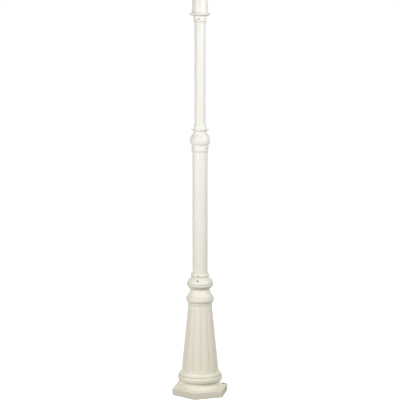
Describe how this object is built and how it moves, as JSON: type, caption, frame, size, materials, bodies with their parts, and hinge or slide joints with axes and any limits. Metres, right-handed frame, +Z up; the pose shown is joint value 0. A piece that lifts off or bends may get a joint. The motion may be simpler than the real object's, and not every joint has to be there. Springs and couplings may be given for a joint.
{
  "type": "lamp post",
  "caption": "Cast and tubular lamp post, hollow for its wiring: hexagonal foot with anchor holes, fluted pedestal, moulded collars, slim two-stage shaft and a tenon for a lantern.",
  "frame": {"origin": "centre of the circle through the anchor holes, on the ground", "axes": "+Z up along the post, -Y towards the corner of the foot that has the front anchor hole"},
  "size_m": [0.2466, 0.283, 1.9024],
  "materials": {
    "cast_paint": "warm ivory gloss paint on sand castings",
    "shaft_paint": "warm ivory gloss paint on drawn tube",
    "screw_steel": "dark, dulled socket set screws"
  },
  "bodies": {
    "root": {"pedestal": "cast_paint", "neck": "cast_paint", "collar": "cast_paint", "lower_shaft": "shaft_paint", "coupling": "cast_paint", "upper_shaft": "shaft_paint", "lantern_fitting": "cast_paint", "ring_screw_1": "screw_steel", "ring_screw_2": "screw_steel", "ring_screw_3": "screw_steel", "lock_screw_1": "screw_steel", "lock_screw_2": "screw_steel", "lock_screw_3": "screw_steel", "coupling_screw_1": "screw_steel", "coupling_screw_2": "screw_steel", "coupling_screw_3": "screw_steel", "fitting_screw_1": "screw_steel", "fitting_screw_2": "screw_steel", "fitting_screw_3": "screw_steel"}
  },
  "joints": []
}
